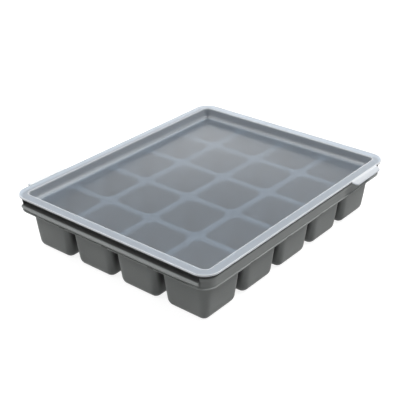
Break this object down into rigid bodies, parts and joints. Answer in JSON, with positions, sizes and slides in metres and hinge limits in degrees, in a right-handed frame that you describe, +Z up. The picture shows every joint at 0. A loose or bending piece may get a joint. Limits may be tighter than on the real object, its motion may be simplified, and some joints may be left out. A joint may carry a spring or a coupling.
{
  "type": "baby food freezer tray",
  "caption": "Soft freezer tray of rounded square cups whose floors push up to free frozen cubes, with grip lips on its rim and a frosted plug-in lid with pull tabs.",
  "frame": {"origin": "centre of the footprint, on the table the tray stands on", "axes": "+X along the long side, +Y along the short side, +Z up out of the cups"},
  "size_m": [0.1948, 0.166, 0.038],
  "materials": {
    "silicone": "matt grey silicone",
    "lid_plastic": "frosted translucent plastic"
  },
  "bodies": {
    "tray": {"cup_a1": "silicone", "cup_a2": "silicone", "cup_a3": "silicone", "cup_a4": "silicone", "cup_a5": "silicone", "cup_b1": "silicone", "cup_b2": "silicone", "cup_b3": "silicone", "cup_b4": "silicone", "cup_b5": "silicone", "cup_c1": "silicone", "cup_c2": "silicone", "cup_c3": "silicone", "cup_c4": "silicone", "cup_c5": "silicone", "cup_d1": "silicone", "cup_d2": "silicone", "cup_d3": "silicone", "cup_d4": "silicone", "cup_d5": "silicone", "rim_wall": "silicone", "grip_lip_left": "silicone", "grip_lip_right": "silicone"},
    "lid": {"lid_panel": "lid_plastic", "lid_well_wall": "lid_plastic", "lid_flange": "lid_plastic", "lid_tab_front": "lid_plastic", "lid_tab_back": "lid_plastic"},
    "push_a1": {"push_floor_a1": "silicone"},
    "push_a2": {"push_floor_a2": "silicone"},
    "push_a3": {"push_floor_a3": "silicone"},
    "push_a4": {"push_floor_a4": "silicone"},
    "push_a5": {"push_floor_a5": "silicone"},
    "push_b1": {"push_floor_b1": "silicone"},
    "push_b2": {"push_floor_b2": "silicone"},
    "push_b3": {"push_floor_b3": "silicone"},
    "push_b4": {"push_floor_b4": "silicone"},
    "push_b5": {"push_floor_b5": "silicone"},
    "push_c1": {"push_floor_c1": "silicone"},
    "push_c2": {"push_floor_c2": "silicone"},
    "push_c3": {"push_floor_c3": "silicone"},
    "push_c4": {"push_floor_c4": "silicone"},
    "push_c5": {"push_floor_c5": "silicone"},
    "push_d1": {"push_floor_d1": "silicone"},
    "push_d2": {"push_floor_d2": "silicone"},
    "push_d3": {"push_floor_d3": "silicone"},
    "push_d4": {"push_floor_d4": "silicone"},
    "push_d5": {"push_floor_d5": "silicone"}
  },
  "joints": [
    {"name": "lid_lift", "type": "slide", "parent": "tray", "child": "lid", "axis": [0, 0, 1], "range_m": [0, 0.06]},
    {"name": "push_a1_up", "type": "slide", "parent": "tray", "child": "push_a1", "axis": [0, 0, 1], "range_m": [0, 0.008], "stiffness_N_per_m": 300},
    {"name": "push_a2_up", "type": "slide", "parent": "tray", "child": "push_a2", "axis": [0, 0, 1], "range_m": [0, 0.008], "stiffness_N_per_m": 300},
    {"name": "push_a3_up", "type": "slide", "parent": "tray", "child": "push_a3", "axis": [0, 0, 1], "range_m": [0, 0.008], "stiffness_N_per_m": 300},
    {"name": "push_a4_up", "type": "slide", "parent": "tray", "child": "push_a4", "axis": [0, 0, 1], "range_m": [0, 0.008], "stiffness_N_per_m": 300},
    {"name": "push_a5_up", "type": "slide", "parent": "tray", "child": "push_a5", "axis": [0, 0, 1], "range_m": [0, 0.008], "stiffness_N_per_m": 300},
    {"name": "push_b1_up", "type": "slide", "parent": "tray", "child": "push_b1", "axis": [0, 0, 1], "range_m": [0, 0.008], "stiffness_N_per_m": 300},
    {"name": "push_b2_up", "type": "slide", "parent": "tray", "child": "push_b2", "axis": [0, 0, 1], "range_m": [0, 0.008], "stiffness_N_per_m": 300},
    {"name": "push_b3_up", "type": "slide", "parent": "tray", "child": "push_b3", "axis": [0, 0, 1], "range_m": [0, 0.008], "stiffness_N_per_m": 300},
    {"name": "push_b4_up", "type": "slide", "parent": "tray", "child": "push_b4", "axis": [0, 0, 1], "range_m": [0, 0.008], "stiffness_N_per_m": 300},
    {"name": "push_b5_up", "type": "slide", "parent": "tray", "child": "push_b5", "axis": [0, 0, 1], "range_m": [0, 0.008], "stiffness_N_per_m": 300},
    {"name": "push_c1_up", "type": "slide", "parent": "tray", "child": "push_c1", "axis": [0, 0, 1], "range_m": [0, 0.008], "stiffness_N_per_m": 300},
    {"name": "push_c2_up", "type": "slide", "parent": "tray", "child": "push_c2", "axis": [0, 0, 1], "range_m": [0, 0.008], "stiffness_N_per_m": 300},
    {"name": "push_c3_up", "type": "slide", "parent": "tray", "child": "push_c3", "axis": [0, 0, 1], "range_m": [0, 0.008], "stiffness_N_per_m": 300},
    {"name": "push_c4_up", "type": "slide", "parent": "tray", "child": "push_c4", "axis": [0, 0, 1], "range_m": [0, 0.008], "stiffness_N_per_m": 300},
    {"name": "push_c5_up", "type": "slide", "parent": "tray", "child": "push_c5", "axis": [0, 0, 1], "range_m": [0, 0.008], "stiffness_N_per_m": 300},
    {"name": "push_d1_up", "type": "slide", "parent": "tray", "child": "push_d1", "axis": [0, 0, 1], "range_m": [0, 0.008], "stiffness_N_per_m": 300},
    {"name": "push_d2_up", "type": "slide", "parent": "tray", "child": "push_d2", "axis": [0, 0, 1], "range_m": [0, 0.008], "stiffness_N_per_m": 300},
    {"name": "push_d3_up", "type": "slide", "parent": "tray", "child": "push_d3", "axis": [0, 0, 1], "range_m": [0, 0.008], "stiffness_N_per_m": 300},
    {"name": "push_d4_up", "type": "slide", "parent": "tray", "child": "push_d4", "axis": [0, 0, 1], "range_m": [0, 0.008], "stiffness_N_per_m": 300},
    {"name": "push_d5_up", "type": "slide", "parent": "tray", "child": "push_d5", "axis": [0, 0, 1], "range_m": [0, 0.008], "stiffness_N_per_m": 300}
  ]
}
